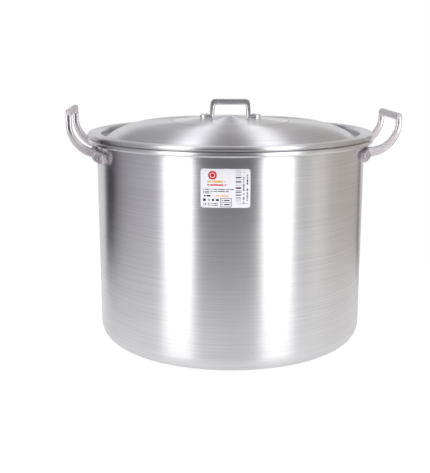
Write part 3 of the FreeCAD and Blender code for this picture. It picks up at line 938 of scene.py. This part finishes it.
def handle_rings(scene, reach, top):
    """Sections from one foot up an arm, across the grip and down the other arm."""
    cast, body = scene.kettle_carrying, scene.kettle_body
    wall = wall_radius(body)
    plate_in = wall + cast.standoff
    plate_top = body.rim_height - cast.plate_drop
    inner_y = cast.half_width - cast.arm_width
    root = math.sqrt(plate_in ** 2 - inner_y ** 2) + cast.plate_sheet / 10
    outer_x = reach - cast.outer_bend
    outer_z = body.rim_height + cast.outer_rise
    inner_x = reach - cast.arm_depth - cast.inner_bend
    inner_z = plate_top + cast.foot_rise + cast.inner_bend
    across = Vector((0, cast.arm_width, 0))

    def curve(centre_x, centre_z, radius, angle):
        if centre_x + radius * math.cos(angle) < root:
            angle = -math.acos(min(1.0, (root - centre_x) / radius))
        return centre_x + radius * math.cos(angle), centre_z + radius * math.sin(angle)

    rings, stations = [], []
    for degrees in range(-90, 1, ARC_STEP):
        angle = math.radians(degrees)
        station = (curve(inner_x, inner_z, cast.inner_bend, angle),
                   curve(outer_x, outer_z, cast.outer_bend, angle))
        if not stations:
            stations.append(((root, station[0][1]), (root, station[1][1])))
        if (Vector(station[0]) - Vector(stations[-1][0])).length > TINY * 10:
            stations.append(station)
    for (in_x, in_z), (out_x, out_z) in stations:
        corner = Vector((in_x, inner_y, in_z))
        deep = Vector((out_x - in_x, 0, out_z - in_z))
        rings.append(ring_of(corner, across, deep, cast.softness))
    deep = Vector((cast.arm_depth, 0, 0))
    face = reach - cast.arm_depth
    lintel = top - cast.crossbar
    corner = Vector((face, inner_y, max(outer_z, lintel - cast.window - CORNER_LEAD)))
    rings.append(ring_of(corner, across, deep, cast.softness))
    for degrees in range(0, 91, CORNER_STEP):
        angle = math.radians(degrees)
        inside = Vector((face, inner_y - cast.window + cast.window * math.cos(angle),
                         lintel - cast.window + cast.window * math.sin(angle)))
        outside = Vector((face, cast.half_width - cast.corner + cast.corner * math.cos(angle),
                          top - cast.corner + cast.corner * math.sin(angle)))
        rings.append(ring_of(inside, outside - inside, deep, cast.softness))
    mirrored = []
    for ring in rings[::-1]:
        mirrored.append([Vector((point.x, -point.y, point.z)) for point in ring])
    return rings + mirrored


class KETTLE_OT_carrying_handles(bpy.types.Operator):
    """Make the two cast carrying handles, each with its curved riveting plate and pads"""
    bl_idname = "kettle.carrying_handles"
    bl_label = "Carrying handles"

    def execute(self, context):
        scene = context.scene
        cast, body = scene.kettle_carrying, scene.kettle_body
        wall = wall_radius(body)
        plate_top = body.rim_height - cast.plate_drop
        for side, _, turn in SIDES:
            reach, top = getattr(cast, f"reach_{side}"), getattr(cast, f"top_{side}")
            metal = cast_metal(f"cast_aluminium_{side}", scene.kettle_finish.cast,
                               plate_top + cast.polish_from, plate_top + cast.polish_to,
                               top - cast.crossbar)
            bm = self.plate(cast, wall, plate_top)
            self.pads(bm, cast, wall, plate_top)
            sweep(bm, handle_rings(scene, reach, top))
            bmesh.ops.rotate(bm, verts=bm.verts[:], cent=(0, 0, 0),
                             matrix=Matrix.Rotation(turn, 3, "Z"))
            piece(bm, f"carrying_handle_{side}", "kettle", [f"handle_{side}"],
                  [metal])
        return {"FINISHED"}

    @staticmethod
    def plate(cast, wall, plate_top):
        """Riveting plate with rounded ends, bent to the wall."""
        low = plate_top - cast.plate_height
        bend = cast.plate_height / 2 - cast.end_flat
        half = cast.half_length
        bm = plate_of([(-half, low, bend), (half, low, bend),
                       (half, plate_top, bend), (-half, plate_top, bend)])
        thicken(bm, (0, -cast.plate_sheet, 0))
        soften(bm, sharp_edges(bm), cast.plate_edge, segments=3)
        slice_across(bm, half, pitch=0.003)
        plate_in = wall + cast.standoff
        stretch = math.asin(half / (plate_in + cast.plate_sheet)) * plate_in / half
        bmesh.ops.scale(bm, vec=(stretch, 1, 1), verts=bm.verts[:])
        wrap_round(bm, plate_in, 0.0)
        close_up(bm)
        return bm

    @staticmethod
    def pads(bm, cast, wall, plate_top):
        """Short round pads that stand the plate off the wall."""
        plate_out = wall + cast.standoff + cast.plate_sheet
        middle = plate_top - cast.plate_height / 2
        for station in (cast.station_near, cast.station_far):
            for sign in (-1, 1):
                angle = sign * math.asin(station / plate_out)
                depth = cast.standoff + cast.plate_sheet / 2
                place = (Matrix.Rotation(angle, 4, "Z")
                         @ Matrix.Translation((wall + depth / 2, 0, middle))
                         @ Matrix.Rotation(math.pi / 2, 4, "Y"))
                bmesh.ops.create_cone(bm, cap_ends=True, segments=PAD_FACETS,
                                      radius1=cast.pad, radius2=cast.pad, depth=depth, matrix=place)


class KETTLE_OT_handle_rivets(bpy.types.Operator):
    """Set four rivets in each carrying handle, clinched inside the kettle"""
    bl_idname = "kettle.handle_rivets"
    bl_label = "Handle rivets"

    def execute(self, context):
        scene = context.scene
        cast, body = scene.kettle_carrying, scene.kettle_body
        wall = wall_radius(body)
        mouth = wall - body.sheet
        plate_out = wall + cast.standoff + cast.plate_sheet
        middle = body.rim_height - cast.plate_drop - cast.plate_height / 2
        seat = math.sqrt(mouth ** 2 - cast.rivet_head ** 2) - RIVET_FIT
        finish = scene.kettle_finish
        metal = polished_metal("drawn_rivet", finish.rivet, finish.rivet_rough)
        stations = (-cast.station_far, -cast.station_near, cast.station_near, cast.station_far)
        for side, _, turn in SIDES:
            for number, station in enumerate(stations, 1):
                bm = rivet_bmesh(cast.rivet_shank, cast.rivet_head, cast.rivet_dome,
                                 plate_out + RIVET_FIT - seat, cast.rivet_clinch)
                angle = turn + math.asin(station / plate_out)
                spot = (Matrix.Rotation(angle, 4, "Z") @ Matrix.Translation((seat, 0, middle))
                        @ Matrix.Rotation(math.pi / 2, 4, "Y"))
                bmesh.ops.transform(bm, matrix=spot, verts=bm.verts[:])
                piece(bm, f"handle_rivet_set_{side}_{number}", "kettle",
                      [f"handle_rivet_{side}_{number}"], [metal])
        return {"FINISHED"}


class KETTLE_OT_label(bpy.types.Operator):
    """Wrap the paper label round the wall"""
    bl_idname = "kettle.label"
    bl_label = "Label"

    def execute(self, context):
        scene = context.scene
        paper, body = scene.kettle_label, scene.kettle_body
        wall = wall_radius(body)
        low, high = PAPER[0].z, PAPER[1].z
        half = paper.width / 2
        bm = plate_of([(-half, low, paper.corner), (half, low, paper.corner),
                       (half, high, paper.corner), (-half, high, paper.corner)])
        thicken(bm, (0, -paper.thickness, 0))
        slice_across(bm, half, pitch=0.002)
        layer = bm.loops.layers.uv.new("label")
        for face in bm.faces:
            for loop in face.loops:
                along, _, height = loop.vert.co
                loop[layer].uv = ((along + half) / paper.width, (height - low) / (high - low))
        wrap_round(bm, wall, paper.azimuth)
        close_up(bm)
        print_on = printed_paper("printed_paper", paper, paper.width / (high - low))
        piece(bm, "paper_label", "kettle", ["label"], [print_on])
        return {"FINISHED"}


# ---- studio -----------------------------------------------------------------------
# Room brightness low down and overhead, as (degrees round from the camera, red, green, blue).
ROOM = (
    (-180, 0.80, 0.80, 0.81),
    (-142, 0.74, 0.74, 0.76),
    (-137, 0.02, 0.02, 0.02),
    (-121, 0.03, 0.03, 0.04),
    (-113, 0.22, 0.21, 0.23),
    (-100, 0.33, 0.32, 0.35),
    (-82, 0.41, 0.40, 0.44),
    (-64, 0.42, 0.41, 0.45),
    (-57, 0.44, 0.43, 0.46),
    (-54, 1.20, 1.20, 1.22),
    (-33, 1.20, 1.20, 1.22),
    (-29, 0.070, 0.067, 0.077),
    (0, 0.060, 0.057, 0.066),
    (25, 0.070, 0.067, 0.077),
    (28, 1.20, 1.20, 1.22),
    (51, 1.20, 1.20, 1.22),
    (55, 0.46, 0.45, 0.45),
    (69, 0.56, 0.55, 0.54),
    (76, 0.74, 0.715, 0.68),
    (86, 0.70, 0.665, 0.63),
    (93, 0.55, 0.515, 0.49),
    (106, 0.50, 0.455, 0.43),
    (122, 0.50, 0.46, 0.43),
    (148, 0.50, 0.46, 0.43),
    (151, 0.04, 0.04, 0.04),
    (156, 0.04, 0.04, 0.04),
    (160, 0.75, 0.75, 0.75),
    (180, 0.80, 0.80, 0.80),
)
OVERHEAD = (
    (-180, 0.38, 0.38, 0.39),
    (-90, 0.42, 0.42, 0.44),
    (-62, 0.50, 0.50, 0.52),
    (-54, 1.45, 1.45, 1.50),
    (-34, 1.45, 1.45, 1.50),
    (-26, 0.38, 0.37, 0.39),
    (0, 0.33, 0.32, 0.34),
    (26, 0.38, 0.37, 0.39),
    (32, 1.45, 1.45, 1.50),
    (54, 1.45, 1.45, 1.50),
    (64, 0.54, 0.53, 0.53),
    (90, 0.46, 0.45, 0.44),
    (180, 0.42, 0.41, 0.41),
)
SIGHT = 0.945                         # level part of a line from the camera to the kettle
OVERHEAD_FROM, OVERHEAD_TO = 0.30, 0.60   # rise of a direction over which one gives way


def room_light(studio):
    """Plain studio room: pale behind the kettle, darker on the camera's side."""
    world = bpy.data.worlds.new("studio_room")
    world.use_nodes = True
    room = NodeTree(world.node_tree)
    x, y, z = room.split(room.add("ShaderNodeTexCoord", {}).outputs["Generated"])
    cosine, sine = math.cos(studio.facing), math.sin(studio.facing)
    toward = room.plus(room.times(x, cosine), room.times(y, sine))
    right = room.plus(room.times(x, -sine), room.times(y, cosine))
    half_round = room.sums("ARCTAN2", right, room.plus(toward, SIGHT))
    bearing = room.sums("MULTIPLY_ADD", half_round, 1.0 / math.pi, 0.5)

    def round_about(table):
        ramp = room.add("ShaderNodeValToRGB", {0: bearing})
        stops = ramp.color_ramp.elements
        for number, (degrees, red, green, blue) in enumerate(table):
            place = (degrees + 180) / 360
            stop = stops[number] if number < 2 else stops.new(place)
            stop.position = place
            stop.color = (red, green, blue, 1.0)
        return ramp.outputs["Color"]

    overhead = room.spread(z, OVERHEAD_FROM, OVERHEAD_TO, smooth=True)
    light = room.blend(overhead, round_about(ROOM), round_about(OVERHEAD))
    shown = room.blend(room.is_camera_ray(), light, (1.0, 1.0, 1.0, 1.0))
    room.feed(shown, room.nodes["Background"].inputs["Color"])
    return world


def area_light(name, place, aim, width, height, watts):
    """Rectangular soft light that faces a point."""
    data = bpy.data.lights.new(name, "AREA")
    data.shape = "RECTANGLE"
    data.size, data.size_y = width, height
    data.energy = watts
    lamp = bpy.data.objects.new(name, data)
    bpy.context.scene.collection.objects.link(lamp)
    lamp.location = place
    lamp.rotation_euler = (Vector(aim) - Vector(place)).to_track_quat("-Z", "Y").to_euler()
    return lamp


class KETTLE_OT_stage(bpy.types.Operator):
    """Lay the floor and set up the room, the lights and the camera"""
    bl_idname = "kettle.stage"
    bl_label = "Stage"

    def execute(self, context):
        scene = context.scene
        studio = scene.kettle_studio
        bm = bmesh.new()
        bmesh.ops.create_circle(bm, cap_ends=True, segments=FLOOR_FACETS,
                                radius=studio.floor_radius,
                                matrix=Matrix.Translation((0, 0, -studio.floor_drop)))
        mesh = bpy.data.meshes.new("pale_floor")
        bm.to_mesh(mesh)
        bm.free()
        mesh.materials.append(floor_paint("floor_paint", studio.floor, studio.floor_glow))
        floor = bpy.data.objects.new("pale_floor", mesh)
        scene.collection.objects.link(floor)
        scene.world = room_light(studio)
        watts = studio.box_radiance * math.pi * studio.box_width * studio.box_height
        for side, sign, _ in SIDES:
            angle = studio.facing + sign * getattr(studio, f"box_angle_{side}")
            place = (studio.box_distance * math.cos(angle),
                     studio.box_distance * math.sin(angle), studio.box_height * studio.box_centre)
            aim = (0.0, 0.0, place[2])
            area_light(f"softbox_{side}", place, aim, studio.box_width,
                       studio.box_height, watts)
        fill = area_light("overhead_fill", studio.fill_place, (0.0, 0.0, 0.0),
                          studio.fill_size, studio.fill_size, studio.fill_watts)
        fill.visible_glossy = False
        camera_data = bpy.data.cameras.new("camera")
        camera_data.lens = studio.lens
        camera = bpy.data.objects.new("camera", camera_data)
        scene.collection.objects.link(camera)
        camera.location = studio.eye
        camera.rotation_euler = Vector(studio.aim).to_track_quat("-Z", "Y").to_euler()
        scene.camera = camera
        scene.view_settings.view_transform = "Standard"
        return {"FINISHED"}


class KETTLE_PT_pieces(bpy.types.Panel):
    """Lists the kettle's pieces and settings"""
    bl_idname = "KETTLE_PT_pieces"
    bl_label = "Brew kettle"
    bl_space_type = "VIEW_3D"
    bl_region_type = "UI"
    bl_category = "Kettle"

    def draw(self, context):
        for operator in OPERATORS:
            self.layout.operator(operator.bl_idname)
        for name, group in GROUPS.items():
            box = self.layout.box()
            box.label(text=group.__doc__)
            for key in group.__annotations__:
                box.prop(getattr(context.scene, name), key)


OPERATORS = (
    KETTLE_OT_stage,
    KETTLE_OT_body,
    KETTLE_OT_lid,
    KETTLE_OT_lid_handle,
    KETTLE_OT_lid_rivets,
    KETTLE_OT_carrying_handles,
    KETTLE_OT_handle_rivets,
    KETTLE_OT_label,
)


def register():
    for group in GROUPS.values():
        bpy.utils.register_class(group)
    for kind in OPERATORS + (KETTLE_PT_pieces,):
        bpy.utils.register_class(kind)
    for name, group in GROUPS.items():
        setattr(bpy.types.Scene, name, PointerProperty(type=group))


def unregister():
    for name in GROUPS:
        delattr(bpy.types.Scene, name)
    for kind in reversed(OPERATORS + (KETTLE_PT_pieces,)):
        bpy.utils.unregister_class(kind)
    for group in reversed(list(GROUPS.values())):
        bpy.utils.unregister_class(group)


def main():
    register()
    for operator in OPERATORS:
        family, name = operator.bl_idname.split(".")
        getattr(getattr(bpy.ops, family), name)()


if __name__ == "__main__":
    main()
